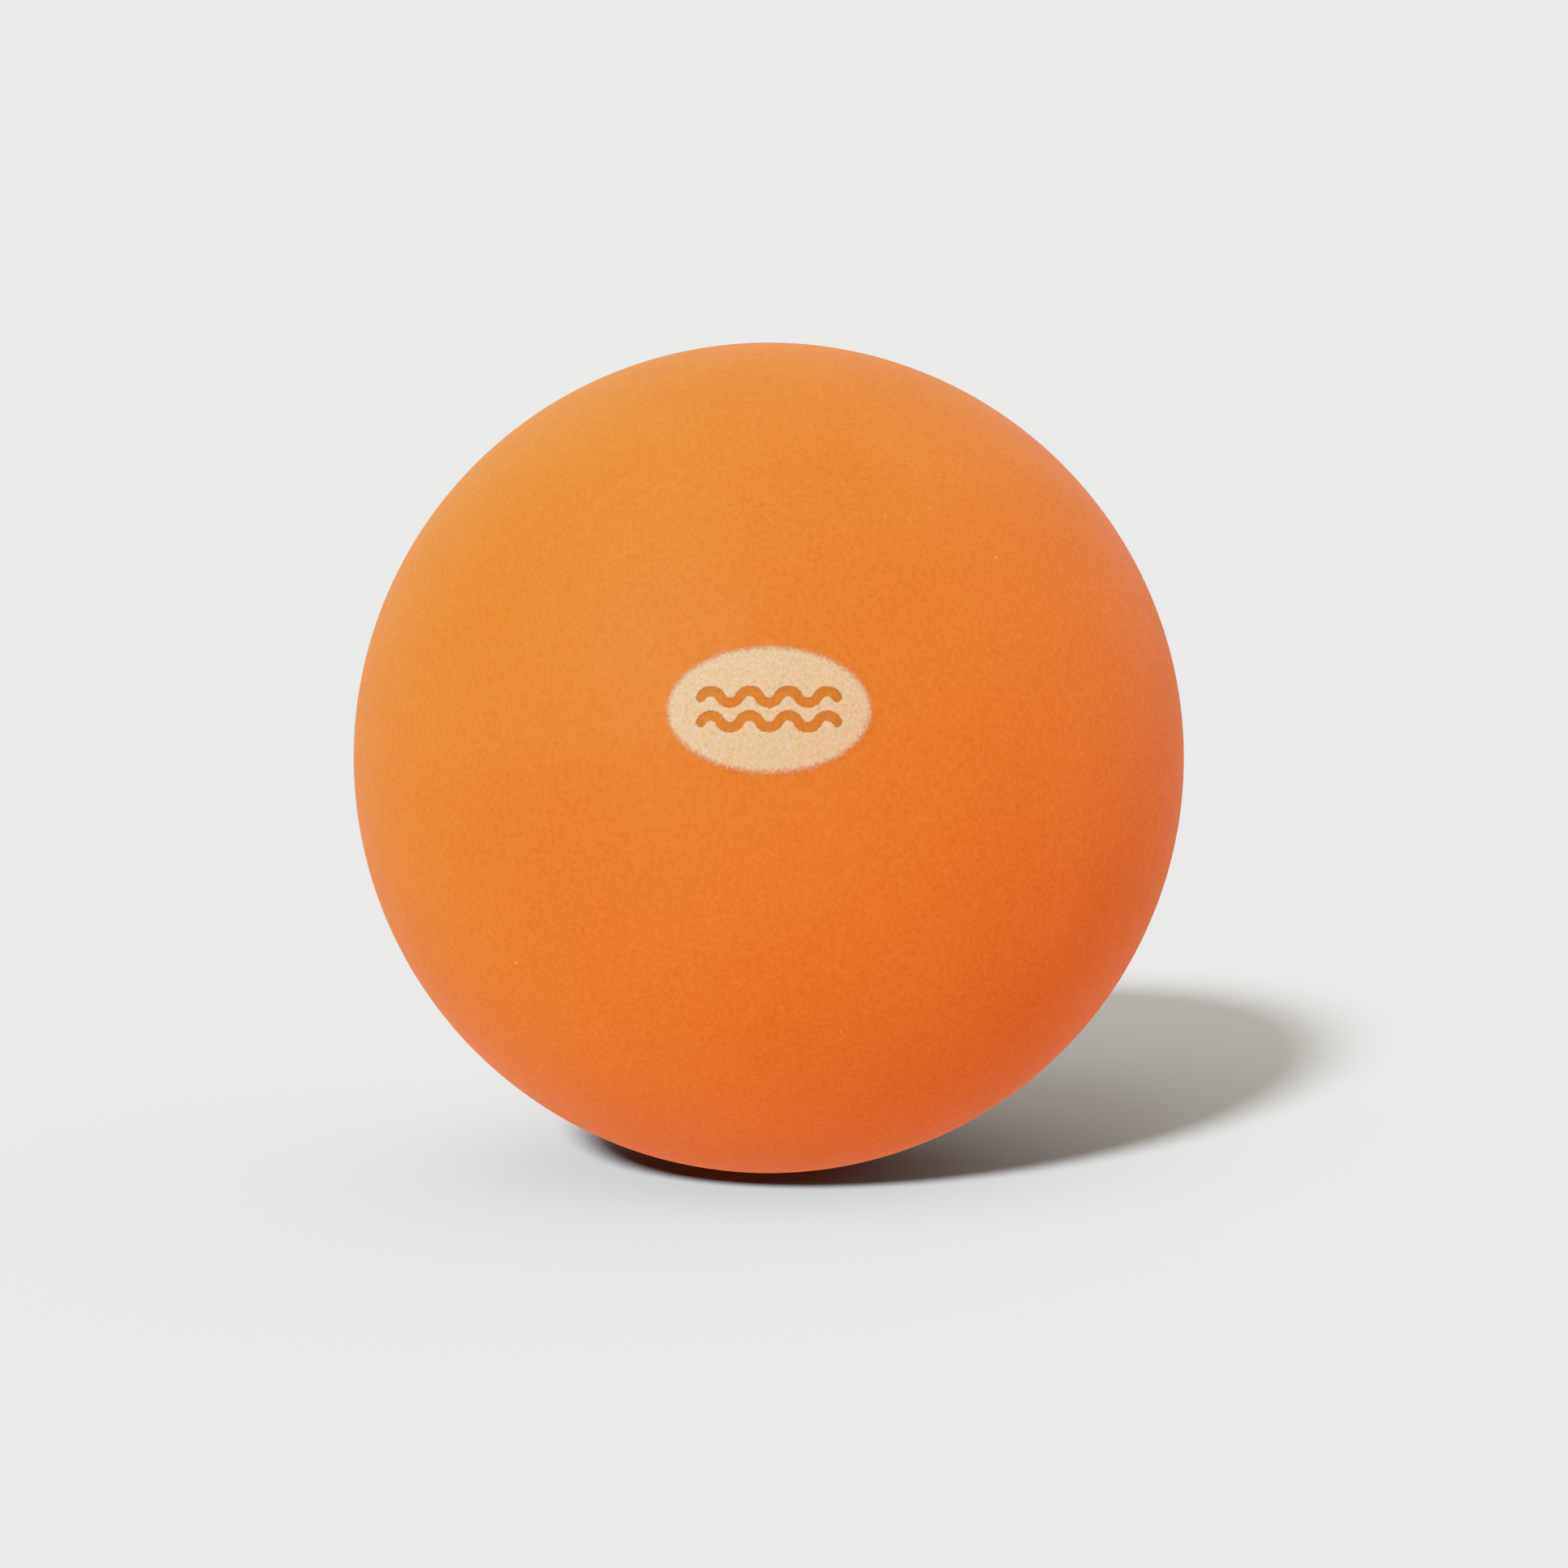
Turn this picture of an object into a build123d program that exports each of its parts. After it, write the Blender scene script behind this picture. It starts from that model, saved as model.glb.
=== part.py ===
from build123d import *
from math import sqrt
import os

# A hollow, air-filled massage ball, in millimetres. The origin is the ball's centre, +Z is up, the
# print faces -Y and the valve is on +Y.

# Ball
ball_radius = 45.0
wall_thickness = 2.5

# Valve boot, bonded inside the skin round the valve hole
collar_radius = 5.0
flange_radius = 13.0
flange_thickness = 1.2
flange_edge_thickness = 0.5
neck_depth = 13.0  # from the ball's surface to the neck's inner end
neck_taper = 0.8  # how much slimmer the neck is at its inner end
seat_radius = 3.6  # countersink that takes the plug's head
seat_depth = 1.5
seat_edge_round = 0.2
plug_bore_radius = 2.5

# Valve plug, pushed into the boot from outside
running_clearance = 0.04  # radial, between the plug and the boot
head_recess = 0.25  # the head's face lies this far under the ball's surface
head_edge_round = 0.25
head_groove_radius = 2.7
head_groove_width = 0.35
head_groove_depth = 0.15
plug_length = 14.5
grip_ring_count = 3
grip_ring_width = 1.2
grip_ring_spacing = 2.6
grip_groove_depth = 0.2
tip_radius = 1.5
tip_length = 3.0
tip_edge_round = 0.6

# Channel for an inflating needle, blind at the plug's inner end
channel_radius = 1.1
channel_length = 8.5
lead_in_radius = 1.7
lead_in_depth = 0.5

# Printed badge: a plain oval with two ripples left bare
print_elevation = 7.8  # degrees above the horizontal, facing -Y
ink_thickness = 0.05
badge_width = 18.8
badge_height = 11.6
ripple_length = 12.6
ripple_half_waves = 7
ripple_height = 0.55
ripple_stroke = 0.7
ripple_spacing = 2.3

inner_radius = ball_radius - wall_thickness


def along_y(radius, low, high, low_radius=None):
    """A cylinder about the Y axis from y = low to y = high, or a cone where low_radius is given."""
    start = Plane(origin=(0, low, 0), x_dir=(1, 0, 0), z_dir=(0, 1, 0))
    height = high - low
    if low_radius is None:
        return start * Cylinder(radius, height, align=(Align.CENTER, Align.CENTER, Align.MIN))
    return start * Cone(low_radius, radius, height, align=(Align.CENTER, Align.CENTER, Align.MIN))


def sphere(radius):
    """A sphere about the origin, with its poles on Y, so that the valve's edges are circles of latitude."""
    return Rot(-90, 0, 0) * Sphere(radius)


def ball_skin():
    """The hollow skin, with a plain round hole for the valve."""
    hollow = sphere(ball_radius) - sphere(inner_radius)
    return hollow - along_y(collar_radius, 0, ball_radius + wall_thickness)


def valve_boot():
    """A flange under the skin, a collar through its hole and a neck towards the middle of the ball."""
    # The flange's inner face is flatter than the skin, so that the flange thins towards its edge.
    edge_y = sqrt(inner_radius**2 - flange_radius**2) - flange_edge_thickness
    middle_y = inner_radius - flange_thickness
    rise = middle_y - edge_y
    hollow_radius = (flange_radius**2 + rise**2) / (2 * rise)
    cap = sphere(inner_radius) & along_y(flange_radius, edge_y, ball_radius)
    flange = cap - Pos(0, middle_y - hollow_radius, 0) * sphere(hollow_radius)
    collar = along_y(collar_radius, middle_y, ball_radius) & sphere(ball_radius)
    neck = along_y(collar_radius, ball_radius - neck_depth, middle_y, collar_radius - neck_taper)
    boot = flange + collar + neck
    boot -= along_y(seat_radius, ball_radius - seat_depth, ball_radius + seat_depth)
    boot = fillet(boot.edges().group_by(Axis.Y)[-1], seat_edge_round)
    return boot - along_y(plug_bore_radius, 0, ball_radius)


def valve_plug():
    """A headed rubber plug with grip rings, a blind needle channel and a closed tapering tip."""
    face_y = ball_radius - head_recess
    shoulder_y = ball_radius - seat_depth + running_clearance
    inner_end_y = face_y - plug_length
    tip_start_y = inner_end_y + tip_length
    ring_radius = plug_bore_radius - running_clearance
    shank_radius = ring_radius - grip_groove_depth

    head = along_y(seat_radius - running_clearance, shoulder_y, face_y)
    head = fillet(head.edges().sort_by(Axis.Y)[-1], head_edge_round)
    groove_y = face_y - head_groove_depth
    head -= along_y(head_groove_radius + head_groove_width / 2, groove_y, face_y) - along_y(
        head_groove_radius - head_groove_width / 2, groove_y, face_y
    )
    plug = head + along_y(shank_radius, tip_start_y, shoulder_y)
    for ring in range(grip_ring_count):
        top_y = shoulder_y - ring * grip_ring_spacing
        plug += along_y(ring_radius, top_y - grip_ring_width, top_y)
    plug += along_y(shank_radius, inner_end_y, tip_start_y, tip_radius)
    plug = fillet(plug.edges().sort_by(Axis.Y)[0], tip_edge_round)
    plug -= along_y(channel_radius, face_y - lead_in_depth - channel_length, face_y)
    return plug - along_y(lead_in_radius, face_y - lead_in_depth, face_y, channel_radius)


def ripple():
    """One wavy stroke, made of equal arcs that curve up and down in turn."""
    step = ripple_length / ripple_half_waves
    arcs = []
    for index in range(ripple_half_waves):
        start = (index * step - ripple_length / 2, 0)
        end = (start[0] + step, 0)
        arcs.append(SagittaArc(start, end, ripple_height * (-1) ** index))
    return trace(arcs, ripple_stroke)


def print_badge():
    """The ink film on the skin: the badge's outline pushed through a thin shell round the ball."""
    outline = Ellipse(badge_width / 2, badge_height / 2)
    for side in (-1, 1):
        outline -= Pos(0, side * ripple_spacing / 2) * ripple()
    front = Plane(origin=(0, 0, 0), x_dir=(1, 0, 0), z_dir=(0, -1, 0))
    prism = extrude(front * outline, ball_radius + wall_thickness)
    film = Sphere(ball_radius + ink_thickness) - Sphere(ball_radius)
    return Rot(-print_elevation, 0, 0) * (film & prism)


def save(node, shape):
    """Writes one node's STEP file."""
    solids = shape.solids()
    body = solids[0] if len(solids) == 1 else Compound(solids)
    body.label = node
    export_step(body, f"parts/{node}.step")


os.makedirs("parts", exist_ok=True)
save("ball_skin", ball_skin())
save("valve_boot", valve_boot())
save("valve_plug", valve_plug())
save("print_badge", print_badge())
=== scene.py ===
import math

import bmesh
import bpy
import numpy as np
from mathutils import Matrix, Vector, noise


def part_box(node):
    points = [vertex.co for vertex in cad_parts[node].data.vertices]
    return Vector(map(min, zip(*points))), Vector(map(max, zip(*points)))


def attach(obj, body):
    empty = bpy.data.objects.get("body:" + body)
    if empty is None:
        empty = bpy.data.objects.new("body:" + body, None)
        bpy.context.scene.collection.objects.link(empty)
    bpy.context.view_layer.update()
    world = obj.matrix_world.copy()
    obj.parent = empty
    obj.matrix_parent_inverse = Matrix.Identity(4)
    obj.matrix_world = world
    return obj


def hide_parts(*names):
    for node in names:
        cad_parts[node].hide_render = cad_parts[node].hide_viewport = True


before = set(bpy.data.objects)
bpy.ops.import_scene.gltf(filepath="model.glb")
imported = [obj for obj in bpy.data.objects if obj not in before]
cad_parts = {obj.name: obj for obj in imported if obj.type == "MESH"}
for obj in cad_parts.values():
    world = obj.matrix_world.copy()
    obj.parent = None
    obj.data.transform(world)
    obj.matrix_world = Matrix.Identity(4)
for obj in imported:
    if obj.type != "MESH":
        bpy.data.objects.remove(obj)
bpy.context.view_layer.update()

# Metres, in the CAD frame: the ball's centre is the origin, the badge faces -Y and the valve is at +Y.
MM = 0.001

skin_low, skin_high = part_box("ball_skin")
badge_low, badge_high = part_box("print_badge")

BALL_RADIUS = (skin_high.z - skin_low.z) / 2
FLOOR_Z = -BALL_RADIUS
FRONT = math.radians(270)

# Camera
CAMERA_ELEVATION = math.radians(2.0)
CAMERA_DISTANCE = 6.3 * BALL_RADIUS
LENS = 59.3
SENSOR = 36.0
CLIP_START = 0.01
CLIP_END = 100.0
AIM = Vector((0.0362, 0.0, -0.0626)) * BALL_RADIUS

# Skin mesh: five square grids and, on the valve's side, rings that end in the hole
CELLS_PER_QUARTER = 112
VALVE_RINGS = 56
RING_CROWDING = 0.7
HOLE_RADIUS = 5.0 * MM
RIM_ROUND = 0.3 * MM
RIM_STEPS = 6
WELL_SHALLOW = 2.5 * MM
WELL_DEPTH = 17.0 * MM
WELD_REACH = 0.002 * MM

# Skin relief: a faint orange peel in two sizes, and the line where the mould's halves met
PEEL_SIZE = 3.5 * MM
PEEL_HEIGHT = 0.008 * MM
FINE_PEEL_SIZE = PEEL_SIZE / 2.3
FINE_PEEL_SHARE = 0.5
PARTING_HEIGHT = 0.03 * MM
PARTING_WIDTH = 0.02 * MM
PARTING_PULL = 0.33 * MM
PARTING_REACH = 4.0 * MM

# Printed badge
BADGE_CELL = 0.15 * MM
INK_HEIGHT = 0.04 * MM
INK_DEPTH = 0.01 * MM
INK_THINNEST = 0.3
OVERSPRAY = 0.55 * MM
EDGE_BLUR = 1.05 * MM
RIPPLE_LENGTH = 12.6 * MM
RIPPLE_HALF_WAVES = 7
RIPPLE_HEIGHT = 0.55 * MM
RIPPLE_STROKE = 0.7 * MM
RIPPLE_SPACING = 2.3 * MM
RIPPLE_BLUR = 0.16 * MM
ARC_STEPS = 24
SNAP_REACH = 0.75 * BADGE_CELL
SLOPE_STEP = 0.05 * BADGE_CELL
ALMOST_ZERO = 1e-9

# Lamps: the elevation, azimuth and width of each one's disc in degrees, then its strength and its tint.
# The floor is a dark grey under strong lamps of its own, so that little of the ball's orange shows on it.
BALL_LAMPS = {
    "key": (29.0, 241.0, 8.0, 1.80, (0.74, 1.0, 1.0)),
    "wide_fill": (55.0, 262.0, 90.0, 0.98, (0.74, 1.0, 1.0)),
    "front_fill": (15.0, 262.0, 70.0, 0.06, (0.80, 1.0, 1.0)),
    "bounce": (-14.0, 228.0, 60.0, 0.75, (0.62, 1.0, 1.0)),
}
FLOOR_LAMPS = {
    "floor_key": (28.0, 247.5, 8.0, 86.0, (0.96, 1.0, 1.03)),
    "floor_soft": (50.0, 238.0, 44.0, 12.5, (1.0, 0.98, 0.93)),
    "floor_fill": (60.0, 20.0, 110.0, 19.5, (1.0, 0.95, 0.84)),
}
# Sky, which shades to a redder glow below the horizon, as the light that comes up round an orange ball does.
# Its depth is on a scale that runs from 0 at the horizon to 1 straight down.
SKY_TINT = (1.22, 0.98, 0.92)
SKY_LEVEL = 0.67
GLOW_TINT = (1.38, 0.70, 0.57)
GLOW_DEPTH = 0.6

# Floor, and the round wall behind it that only the camera sees
FLOOR_COLOR = (0.05, 0.05, 0.05)
FLOOR_REACH = 8.0
WALL_LEVEL = 1.1
WALL_RADIUS = 5.0
WALL_SIDES = 96
WALL_FOOT = 0.5
WALL_TOP = 6.0

# The camera's response: straight up to the shoulder, then a smooth bend to the whitest tone
SHOULDER_START = 0.45
WHITEST = (0.83, 0.83, 0.815)
CURVE_STEPS = 12

# The sockets of a colour Mix node go by number, because its other modes share their names.
MIX_FIRST = 6
MIX_SECOND = 7
MIX_RESULT = 2


def direction(elevation, azimuth):
    """The unit vector at this elevation above the floor and this azimuth from +X."""
    level = math.cos(elevation)
    return Vector((level * math.cos(azimuth), level * math.sin(azimuth), math.sin(elevation)))


# Camera and light


def add_camera():
    """The scene's camera, in front of the badge and aimed a little past the ball's centre."""
    camera = bpy.data.objects.new("camera", bpy.data.cameras.new("camera"))
    bpy.context.scene.collection.objects.link(camera)
    camera.data.lens = LENS
    camera.data.sensor_width = SENSOR
    camera.data.clip_start = CLIP_START
    camera.data.clip_end = CLIP_END
    camera.location = direction(CAMERA_ELEVATION, FRONT) * CAMERA_DISTANCE
    camera.rotation_euler = (AIM - camera.location).to_track_quat("-Z", "Y").to_euler()
    bpy.context.scene.camera = camera


def add_sun(name, elevation, azimuth, width, strength, tint, lit, blockers):
    """A sun lamp that lights only the lit group, and that only the blockers shade, or everything if None."""
    light = bpy.data.lights.new(name, "SUN")
    light.energy = strength
    light.angle = math.radians(width)
    light.color = tint
    sun = bpy.data.objects.new(name, light)
    bpy.context.scene.collection.objects.link(sun)
    towards = direction(math.radians(elevation), math.radians(azimuth))
    sun.rotation_euler = towards.to_track_quat("Z", "Y").to_euler()
    sun.light_linking.receiver_collection = lit
    sun.light_linking.blocker_collection = blockers


def receivers(name, member, state):
    """A group that has a lamp light this member alone, or everything but it."""
    group = bpy.data.collections.new(name)
    group.objects.link(member)
    group.collection_objects[0].light_linking.link_state = state
    return group


def add_lights(floor):
    """The ball's lamps, one of them from below in place of the floor's own bounce, and the floor's lamps."""
    for name, lamp in BALL_LAMPS.items():
        all_but_floor = receivers(name, floor, "EXCLUDE")
        add_sun(name, *lamp, all_but_floor, all_but_floor)
    for name, lamp in FLOOR_LAMPS.items():
        add_sun(name, *lamp, receivers(name, floor, "INCLUDE"), None)


def set_tone_curve():
    """Bends bright tones over, as a camera does, so that white stays just under the display's own."""
    view = bpy.context.scene.view_settings
    view.view_transform = "Standard"
    view.use_curve_mapping = True
    mapping = view.curve_mapping
    mapping.extend = "HORIZONTAL"
    ends = [2 * white - SHOULDER_START for white in WHITEST]
    mapping.white_level = ends
    for curve, end in zip(mapping.curves, ends):
        for step in range(CURVE_STEPS + 1):
            share = step / CURVE_STEPS
            level = share * end
            bend = max(0.0, level - SHOULDER_START) ** 2 / (2 * (end - SHOULDER_START))
            if step in (0, CURVE_STEPS):
                curve.points[min(step, len(curve.points) - 1)].location = (share, level - bend)
            else:
                curve.points.new(share, level - bend)
    mapping.update()


def add_sky():
    """An even sky down to the horizon, and the glow below it."""
    world = bpy.data.worlds.new("soft_sky")
    bpy.context.scene.world = world
    world.use_nodes = True
    tree = world.node_tree
    background = tree.nodes["Background"]
    background.inputs["Strength"].default_value = SKY_LEVEL
    place = tree.nodes.new("ShaderNodeTexCoord")
    split = tree.nodes.new("ShaderNodeSeparateXYZ")
    height = tree.nodes.new("ShaderNodeMapRange")
    tint = tree.nodes.new("ShaderNodeMix")
    tint.data_type = "RGBA"
    height.inputs["From Min"].default_value = -GLOW_DEPTH
    height.inputs["From Max"].default_value = 0.0
    tint.inputs[MIX_FIRST].default_value = (*GLOW_TINT, 1)
    tint.inputs[MIX_SECOND].default_value = (*SKY_TINT, 1)
    tree.links.new(place.outputs["Generated"], split.inputs[0])
    tree.links.new(split.outputs["Z"], height.inputs["Value"])
    tree.links.new(height.outputs["Result"], tint.inputs["Factor"])
    tree.links.new(tint.outputs[MIX_RESULT], background.inputs["Color"])


# Mesh helpers


def new_mesh_object(name, points, faces):
    mesh = bpy.data.meshes.new(name)
    mesh.from_pydata(points, [], faces)
    mesh.validate()
    mesh.shade_smooth()
    piece = bpy.data.objects.new(name, mesh)
    bpy.context.scene.collection.objects.link(piece)
    return piece


def smoothstep(x):
    """0 up to 0 and 1 from 1 on, with a smooth rise between."""
    x = np.clip(x, 0, 1)
    return x * x * (3 - 2 * x)


# Skin


def cube_face(normal, across, up, cells):
    """The points of one face of a cube blown up to a unit sphere, in rows, evenly spaced in angle."""
    steps = np.tan(np.linspace(-1, 1, cells + 1) * math.pi / 4)
    grid = np.array(normal) + steps[:, None, None] * np.array(up) + steps[None, :, None] * np.array(across)
    return grid / np.linalg.norm(grid, axis=2, keepdims=True)


def grid_faces(start, rows, columns, closed=False):
    """The quads of a grid of points numbered row by row from start. A closed grid's rows are rings."""
    faces = []
    for row in range(rows - 1):
        for column in range(columns if closed else columns - 1):
            a = start + row * columns + column
            b = start + row * columns + (column + 1) % columns
            faces.append((a, b, b + columns, a + columns))
    return faces


def valve_side(cells):
    """The face with the valve: rings that change from the edge of the cube's face to the round hole."""
    turn = np.arange(4 * cells) / (4 * cells) * 2 * math.pi - math.pi / 4
    side = (turn + math.pi / 4) % (math.pi / 2) - math.pi / 4
    edge_angle = np.arctan(1 / np.cos(side))
    hole_angle = math.asin((HOLE_RADIUS + RIM_ROUND) / BALL_RADIUS)
    share = np.linspace(0, 1, VALVE_RINGS + 1)[:, None] ** RING_CROWDING
    polar = edge_angle + (hole_angle - edge_angle) * share
    return np.stack([np.sin(polar) * np.cos(turn), np.cos(polar), np.sin(polar) * np.sin(turn)], axis=2)


def well_rings(ring_points):
    """The hole's rounded rim and the wall under it, ring by ring down to the bottom of the well."""
    rim_y = math.sqrt(BALL_RADIUS**2 - (HOLE_RADIUS + RIM_ROUND) ** 2) - RIM_ROUND
    profile = []
    for step in range(1, RIM_STEPS + 1):
        angle = math.pi / 2 * (1 - step / RIM_STEPS)
        profile.append((HOLE_RADIUS + RIM_ROUND * (1 - math.cos(angle)), rim_y + RIM_ROUND * math.sin(angle)))
    profile.append((HOLE_RADIUS, rim_y - WELL_SHALLOW))
    profile.append((HOLE_RADIUS, rim_y - WELL_DEPTH))
    turn = np.arange(ring_points) / ring_points * 2 * math.pi - math.pi / 4
    across, up, level = np.cos(turn), np.sin(turn), np.ones(ring_points)
    return [np.stack([radius * across, y * level, radius * up], axis=1) for radius, y in profile]


def sphere_relief(points):
    """Unit directions pushed out to the ball's radius, with the peel and the parting line on them."""
    made = []
    for x, y, z in points * BALL_RADIUS:
        pull = PARTING_PULL * max(0.0, 1 - abs(y) / PARTING_REACH)
        shifted = math.copysign(max(abs(y) - pull, 0.0), y)
        spot = Vector((x, shifted, z)).normalized() * BALL_RADIUS
        peel = noise.noise(spot / PEEL_SIZE) + FINE_PEEL_SHARE * noise.noise(spot / FINE_PEEL_SIZE)
        ridge = PARTING_HEIGHT if abs(shifted) < PARTING_WIDTH else 0.0
        made.append(spot * (1 + (peel * PEEL_HEIGHT + ridge) / BALL_RADIUS))
    return np.array(made)


def build_skin(material):
    """The ball's closed outer skin, with a blind well where the valve's boot sits."""
    cells = CELLS_PER_QUARTER
    sides = [
        ((1, 0, 0), (0, 1, 0), (0, 0, 1)),
        ((-1, 0, 0), (0, -1, 0), (0, 0, 1)),
        ((0, -1, 0), (1, 0, 0), (0, 0, 1)),
        ((0, 0, 1), (1, 0, 0), (0, 1, 0)),
        ((0, 0, -1), (1, 0, 0), (0, -1, 0)),
    ]
    blocks, faces, start = [], [], 0
    for normal, across, up in sides:
        blocks.append(sphere_relief(cube_face(normal, across, up, cells).reshape(-1, 3)))
        faces += grid_faces(start, cells + 1, cells + 1)
        start += (cells + 1) ** 2
    ring_points = 4 * cells
    outer = sphere_relief(valve_side(cells).reshape(-1, 3))
    well = well_rings(ring_points)
    blocks += [outer, *well]
    rings = VALVE_RINGS + 1 + len(well)
    faces += grid_faces(start, rings, ring_points, closed=True)
    last = start + (rings - 1) * ring_points
    bottom = last + ring_points
    blocks.append(np.array([[0, well[-1][0][1], 0]]))
    faces += [(last + i, last + (i + 1) % ring_points, bottom) for i in range(ring_points)]
    piece = new_mesh_object("soft_skin", np.concatenate(blocks).tolist(), faces)
    weld(piece)
    piece.data.materials.append(material)
    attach(piece, "ball")
    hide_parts("ball_skin")
    return piece


def weld(piece):
    """Joins the points that neighbouring grids share, and turns every face outwards."""
    work = bmesh.new()
    work.from_mesh(piece.data)
    bmesh.ops.remove_doubles(work, verts=work.verts, dist=WELD_REACH)
    bmesh.ops.recalc_face_normals(work, faces=work.faces)
    work.to_mesh(piece.data)
    work.free()


# Printed badge


def ripple_line(offset):
    """Points along one ripple's centre line: equal arcs that curve up and down in turn."""
    chord = RIPPLE_LENGTH / RIPPLE_HALF_WAVES
    radius = (chord**2 / 4 + RIPPLE_HEIGHT**2) / (2 * RIPPLE_HEIGHT)
    points = []
    for index in range(RIPPLE_HALF_WAVES):
        for step in range(ARC_STEPS):
            u = (step / ARC_STEPS - 0.5) * chord
            rise = math.sqrt(radius**2 - u**2) - (radius - RIPPLE_HEIGHT)
            points.append(((index + 0.5) * chord + u - RIPPLE_LENGTH / 2, offset + rise * (-1) ** index))
    points.append((RIPPLE_LENGTH / 2, offset))
    return np.array(points)


def badge_distances(u, v, half_width, half_height):
    """How far each point is inside the badge's oval and outside its ripples."""
    scaled = np.hypot(u / half_width, v / half_height)
    slope = np.hypot(u / half_width**2, v / half_height**2) + ALMOST_ZERO
    inside_oval = scaled * (1 - scaled) / slope
    lines = np.concatenate([ripple_line(side * RIPPLE_SPACING / 2) for side in (-1, 1)])
    flat = np.stack([u.ravel(), v.ravel()], axis=1)
    nearest = np.full(len(flat), np.inf)
    for point in lines:
        nearest = np.minimum(nearest, np.hypot(*(flat - point).T))
    return inside_oval, nearest.reshape(u.shape) - RIPPLE_STROKE / 2


def build_badge(material):
    """The printed film: an oval with two ripples left bare, which thins out towards its edges."""
    high_angle = math.asin(badge_high.z / BALL_RADIUS)
    low_angle = math.asin(badge_low.z / BALL_RADIUS)
    facing = (high_angle + low_angle) / 2
    half_height = BALL_RADIUS * math.sin((high_angle - low_angle) / 2)
    half_width = (badge_high.x - badge_low.x) / 2
    columns = math.ceil((half_width + OVERSPRAY) / BADGE_CELL)
    rows = math.ceil((half_height + OVERSPRAY) / BADGE_CELL)
    u, v = np.meshgrid(np.arange(-columns, columns + 1) * BADGE_CELL, np.arange(-rows, rows + 1) * BADGE_CELL)
    inside_oval, outside_ripple = badge_distances(u, v, half_width, half_height)
    reach = np.minimum(inside_oval + OVERSPRAY, outside_ripple)
    u, v = snap_to_edge(u, v, reach, half_width, half_height)
    inside_oval, outside_ripple = badge_distances(u, v, half_width, half_height)
    keep = reach > 0
    cell_in = (keep[:-1, :-1].astype(int) + keep[1:, :-1] + keep[:-1, 1:] + keep[1:, 1:]) == 4

    outward = np.array(direction(facing, FRONT))
    upward = np.array(direction(facing + math.pi / 2, FRONT))
    depth = np.sqrt(BALL_RADIUS**2 - u**2 - v**2)
    surface = u[..., None] * np.array((1, 0, 0)) + v[..., None] * upward + depth[..., None] * outward
    unit = surface / BALL_RADIUS
    ink = smoothstep((inside_oval + OVERSPRAY) / EDGE_BLUR) * smoothstep(outside_ripple / RIPPLE_BLUR)
    top = unit * (BALL_RADIUS + INK_HEIGHT * (INK_THINNEST + (1 - INK_THINNEST) * ink[..., None]))
    under = unit * (BALL_RADIUS - INK_DEPTH)
    return film("badge_ink", top, under, ink, cell_in, material)


def snap_to_edge(u, v, reach, half_width, half_height):
    """Moves the outermost kept grid points out to the film's edge, so that the edge is a smooth line."""

    def value(a, b):
        oval, ripple_side = badge_distances(a, b, half_width, half_height)
        return np.minimum(oval + OVERSPRAY, ripple_side)

    slope_u = (value(u + SLOPE_STEP, v) - value(u - SLOPE_STEP, v)) / (2 * SLOPE_STEP)
    slope_v = (value(u, v + SLOPE_STEP) - value(u, v - SLOPE_STEP)) / (2 * SLOPE_STEP)
    size = slope_u**2 + slope_v**2 + ALMOST_ZERO
    near = (reach > 0) & (reach < SNAP_REACH)
    return np.where(near, u - reach * slope_u / size, u), np.where(near, v - reach * slope_v / size, v)


def film(name, top, under, ink, cell_in, material):
    """A closed thin film from two matching grids, of the cells marked in cell_in."""
    rows, columns = cell_in.shape
    number = np.arange((rows + 1) * (columns + 1)).reshape(rows + 1, columns + 1)
    count = number.size
    faces, edges = [], {}
    for row, column in zip(*np.nonzero(cell_in)):
        corners = ((row, column), (row, column + 1), (row + 1, column + 1), (row + 1, column))
        loop = [int(number[corner]) for corner in corners]
        faces.append(tuple(loop))
        faces.append(tuple(i + count for i in reversed(loop)))
        for a, b in zip(loop, loop[1:] + loop[:1]):
            if (b, a) in edges:
                del edges[(b, a)]
            else:
                edges[(a, b)] = True
    faces += [(b, a, a + count, b + count) for a, b in edges]
    points = np.concatenate([top.reshape(-1, 3), under.reshape(-1, 3)])
    used = sorted({i for face in faces for i in face})
    renumber = {old: new for new, old in enumerate(used)}
    faces = [tuple(renumber[i] for i in face) for face in faces]
    piece = new_mesh_object(name, points[used].tolist(), faces)
    attribute = piece.data.attributes.new("ink", "FLOAT", "POINT")
    attribute.data.foreach_set("value", np.tile(ink.ravel(), 2)[used].astype(np.float32))
    piece.data.materials.append(material)
    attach(piece, "ball")
    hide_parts("print_badge")
    return piece


# Materials


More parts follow.
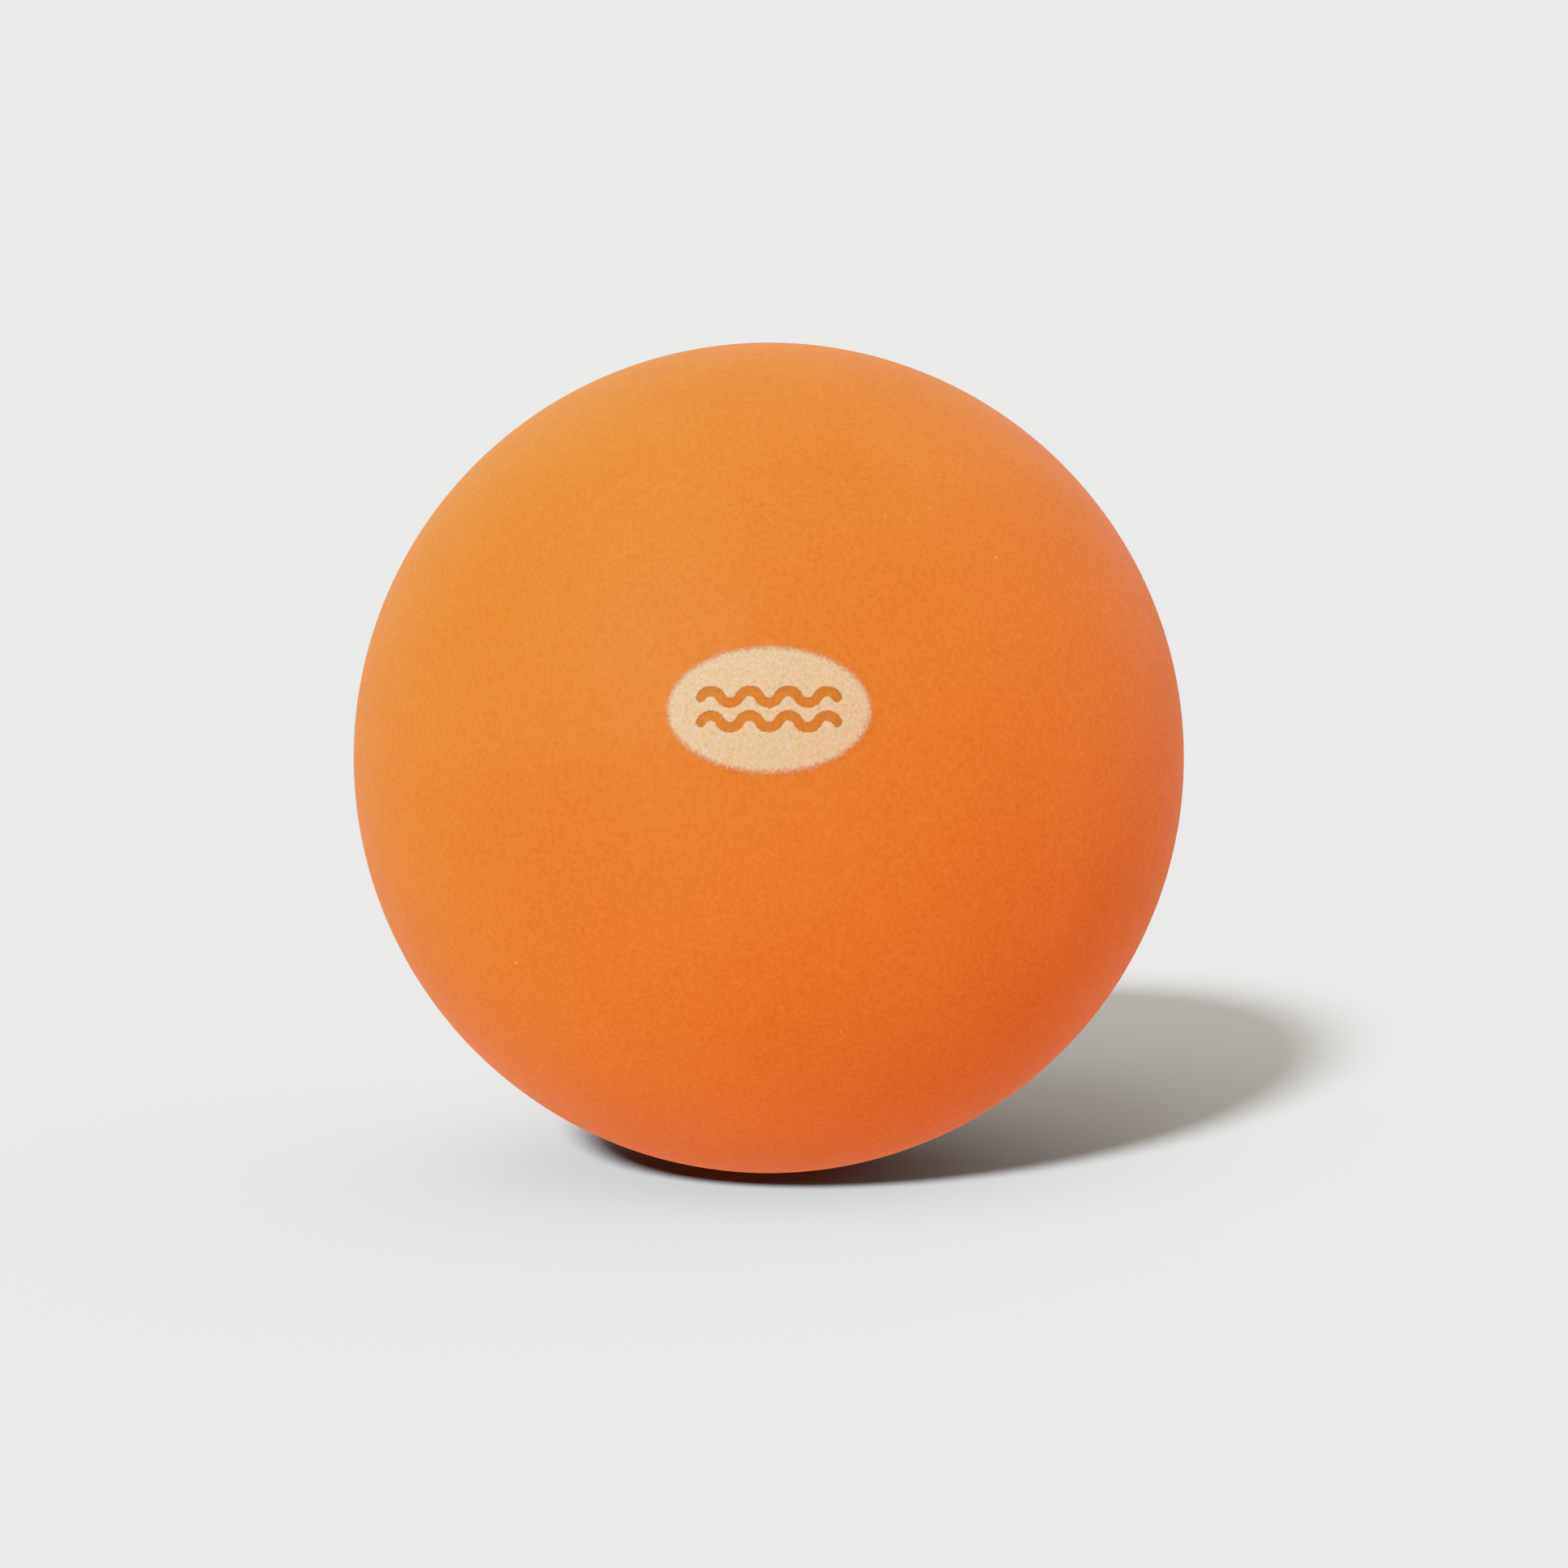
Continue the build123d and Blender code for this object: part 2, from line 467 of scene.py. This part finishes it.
class Nodes:
    """Short calls that add nodes to one material and link them."""

    def __init__(self, name):
        self.material = bpy.data.materials.new(name)
        self.material.use_nodes = True
        self.tree = self.material.node_tree
        self.shader = self.tree.nodes["Principled BSDF"]
        self.place = self.add("ShaderNodeTexCoord").outputs["Object"]

    def add(self, kind, **settings):
        node = self.tree.nodes.new(kind)
        for key, value in settings.items():
            setattr(node, key, value)
        return node

    def link(self, source, target):
        self.tree.links.new(source, target)

    def noise(self, size, detail=2.0, roughness=0.5):
        """Noise from 0 to 1 whose features are about this many metres across."""
        node = self.add("ShaderNodeTexNoise")
        node.inputs["Scale"].default_value = 1 / size
        node.inputs["Detail"].default_value = detail
        node.inputs["Roughness"].default_value = roughness
        self.link(self.place, node.inputs["Vector"])
        return node.outputs["Fac"]

    def remap(self, value, span, onto):
        """The value, stretched from one span of numbers onto another."""
        node = self.add("ShaderNodeMapRange")
        for key, number in zip(("From Min", "From Max", "To Min", "To Max"), (*span, *onto)):
            node.inputs[key].default_value = number
        self.link(value, node.inputs["Value"])
        return node.outputs["Result"]

    def math(self, operation, first, second):
        node = self.add("ShaderNodeMath", operation=operation)
        for socket, value in zip(node.inputs, (first, second)):
            if isinstance(value, (int, float)):
                socket.default_value = value
            else:
                self.link(value, socket)
        return node.outputs[0]

    def mix(self, amount, first, second):
        """A colour between first and second, each a colour or a socket."""
        node = self.add("ShaderNodeMix", data_type="RGBA")
        self.link(amount, node.inputs["Factor"])
        for socket, value in ((node.inputs[MIX_FIRST], first), (node.inputs[MIX_SECOND], second)):
            if isinstance(value, tuple):
                socket.default_value = (*value, 1)
            else:
                self.link(value, socket)
        return node.outputs[MIX_RESULT]

    def specks(self, spacing, radius, share):
        """1 on small round specks: about one in each cell of this spacing, in this share of the cells."""
        cells = self.add("ShaderNodeTexVoronoi")
        cells.inputs["Scale"].default_value = 1 / spacing
        self.link(self.place, cells.inputs["Vector"])
        pick = self.add("ShaderNodeSeparateColor")
        self.link(cells.outputs["Color"], pick.inputs[0])
        chosen = self.math("LESS_THAN", pick.outputs[0], share)
        edge = (SPECK_CORE * radius / spacing, SPECK_RIM * radius / spacing)
        dot = self.remap(cells.outputs["Distance"], edge, (1, 0))
        return self.math("MULTIPLY", dot, chosen)

    def bump(self, height, distance):
        node = self.add("ShaderNodeBump")
        node.inputs["Strength"].default_value = 1.0
        node.inputs["Distance"].default_value = distance
        self.link(height, node.inputs["Height"])
        self.link(node.outputs["Normal"], self.shader.inputs["Normal"])


# The noise nodes give values that lie mostly in the middle of 0 to 1; these are the spans that get stretched.
NOISE_SPAN = (0.3, 0.7)
WIDE_SPAN = (0.25, 0.75)
NARROW_SPAN = (0.35, 0.65)
SPECK_CORE = 0.6
SPECK_RIM = 1.2

ORANGE = (0.88, 0.212, 0.031)
ORANGE_DEEP = (0.68, 0.148, 0.0075)
ORANGE_PALE = (0.86, 0.42, 0.17)
COLOR_GRAIN = 0.45 * MM
COLOR_DRIFT = 18 * MM
GRAIN_SHARE = 0.7
DRIFT_SHARE = 0.25
SPECK_SPACING = 5.0 * MM
SPECK_RADIUS = 0.13 * MM
SPECK_CHANCE = 0.5
GLOSS_GRAIN = 1.2 * MM
SURFACE_GRAIN = 0.4 * MM
SURFACE_GRAIN_HEIGHT = 0.03 * MM

CREAM = (0.73, 0.36, 0.16)
CREAM_PALE = (0.75, 0.43, 0.295)
INK_GRAIN = 0.22 * MM
INK_MOTTLE = 0.3 * MM
INK_RAGGED = (-0.3, 0.3)
INK_COVERS = (0.1, 0.95)

BOOT_LIGHT = (0.70, 0.19, 0.025)
BOOT_DARK = (0.62, 0.15, 0.02)
BOOT_ROUGHNESS = (0.45, 0.6)
PLUG_LIGHT = (0.82, 0.74, 0.60)
PLUG_DARK = (0.76, 0.66, 0.50)
PLUG_ROUGHNESS = (0.4, 0.55)
RUBBER_TONE = 0.5 * MM
RUBBER_GLOSS = 0.8 * MM
RUBBER_GRAIN = 0.25 * MM
RUBBER_GRAIN_HEIGHT = 0.015 * MM


def skin_color(nodes):
    """Orange with fine grain, slow colour drift and sparse pale specks."""
    grain = nodes.remap(nodes.noise(COLOR_GRAIN, detail=3), NOISE_SPAN, (0, 1))
    drift = nodes.remap(nodes.noise(COLOR_DRIFT), NOISE_SPAN, (0, DRIFT_SHARE))
    depth = nodes.math("ADD", nodes.math("MULTIPLY", grain, GRAIN_SHARE), drift)
    specks = nodes.specks(SPECK_SPACING, SPECK_RADIUS, SPECK_CHANCE)
    return nodes.mix(specks, nodes.mix(depth, ORANGE, ORANGE_DEEP), ORANGE_PALE)


def skin_finish(nodes):
    """A soft matte skin: blasted-mould grain, a powdery sheen and light that spreads under the surface."""
    shader = nodes.shader
    shader.inputs["IOR"].default_value = 1.45
    shader.inputs["Specular IOR Level"].default_value = 0.15
    shader.inputs["Subsurface Weight"].default_value = 1.0
    shader.inputs["Subsurface Radius"].default_value = (1.0, 0.27, 0.08)
    shader.inputs["Subsurface Scale"].default_value = 0.004
    shader.inputs["Sheen Weight"].default_value = 0.16
    shader.inputs["Sheen Roughness"].default_value = 0.45
    shader.inputs["Sheen Tint"].default_value = (1.0, 0.32, 0.5, 1)
    rough = nodes.remap(nodes.noise(GLOSS_GRAIN, detail=3), NOISE_SPAN, (0.52, 0.62))
    nodes.link(rough, shader.inputs["Roughness"])
    nodes.bump(nodes.noise(SURFACE_GRAIN, detail=4, roughness=0.6), SURFACE_GRAIN_HEIGHT)


def skin_material():
    """The ball's matte orange."""
    nodes = Nodes("orange_skin")
    nodes.link(skin_color(nodes), nodes.shader.inputs["Base Color"])
    skin_finish(nodes)
    return nodes.material


def ink_material():
    """Matt cream ink, mottled, and broken up by the skin's grain where it thins out."""
    nodes = Nodes("cream_ink")
    ink = nodes.add("ShaderNodeAttribute", attribute_name="ink").outputs["Fac"]
    grain = nodes.remap(nodes.noise(INK_GRAIN), WIDE_SPAN, INK_RAGGED)
    cover = nodes.remap(nodes.math("ADD", ink, grain), INK_COVERS, (0, 1))
    mottle = nodes.remap(nodes.noise(INK_MOTTLE, detail=3), NARROW_SPAN, (0, 1))
    nodes.link(nodes.mix(mottle, CREAM, CREAM_PALE), nodes.shader.inputs["Base Color"])
    nodes.link(cover, nodes.shader.inputs["Alpha"])
    nodes.shader.inputs["Specular IOR Level"].default_value = 0.2
    nodes.shader.inputs["Roughness"].default_value = 0.6
    return nodes.material


def rubber_material(name, light, dark, roughness):
    """Moulded rubber with a fine grain, for the valve's parts."""
    nodes = Nodes(name)
    tone = nodes.remap(nodes.noise(RUBBER_TONE, detail=3), NOISE_SPAN, (0, 1))
    nodes.link(nodes.mix(tone, light, dark), nodes.shader.inputs["Base Color"])
    rough = nodes.remap(nodes.noise(RUBBER_GLOSS, detail=3), NOISE_SPAN, roughness)
    nodes.link(rough, nodes.shader.inputs["Roughness"])
    nodes.shader.inputs["Specular IOR Level"].default_value = 0.4
    nodes.bump(nodes.noise(RUBBER_GRAIN, detail=3), RUBBER_GRAIN_HEIGHT)
    return nodes.material


def dress_cad_node(node, material):
    """Gives a piece that stays as the CAD made it a material of its own."""
    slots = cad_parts[node].data.materials
    slots.clear()
    slots.append(material)


# Floor and backdrop


def add_stage():
    """The floor, which the ball itself doesn't see, and the wall, which only the camera sees."""
    corners = [(x * FLOOR_REACH, y * FLOOR_REACH, FLOOR_Z) for x, y in ((-1, -1), (1, -1), (1, 1), (-1, 1))]
    floor = new_mesh_object("floor", corners, [(0, 1, 2, 3)])
    nodes = Nodes("pale_floor")
    nodes.shader.inputs["Base Color"].default_value = (*FLOOR_COLOR, 1)
    nodes.shader.inputs["Roughness"].default_value = 1.0
    nodes.shader.inputs["Specular IOR Level"].default_value = 0.0
    floor.data.materials.append(nodes.material)

    turns = [step * math.tau / WALL_SIDES for step in range(WALL_SIDES)]
    ring = [(WALL_RADIUS * math.cos(turn), WALL_RADIUS * math.sin(turn)) for turn in turns]
    points = [(x, y, z) for z in (FLOOR_Z - WALL_FOOT, WALL_TOP) for x, y in ring]
    wall = new_mesh_object("backdrop", points, grid_faces(0, 2, WALL_SIDES, closed=True))
    glow = Nodes("backdrop")
    glow.shader.inputs["Base Color"].default_value = (0, 0, 0, 1)
    glow.shader.inputs["Specular IOR Level"].default_value = 0.0
    glow.shader.inputs["Emission Color"].default_value = (1, 1, 1, 1)
    glow.shader.inputs["Emission Strength"].default_value = WALL_LEVEL
    wall.data.materials.append(glow.material)
    for kind in ("diffuse", "glossy", "transmission", "volume_scatter", "shadow"):
        setattr(wall, f"visible_{kind}", False)
    floor.visible_diffuse = False
    floor.visible_glossy = False
    return floor


set_tone_curve()
add_camera()
add_sky()
add_lights(add_stage())

build_skin(skin_material())
build_badge(ink_material())
dress_cad_node("valve_boot", rubber_material("boot_rubber", BOOT_LIGHT, BOOT_DARK, BOOT_ROUGHNESS))
dress_cad_node("valve_plug", rubber_material("plug_rubber", PLUG_LIGHT, PLUG_DARK, PLUG_ROUGHNESS))
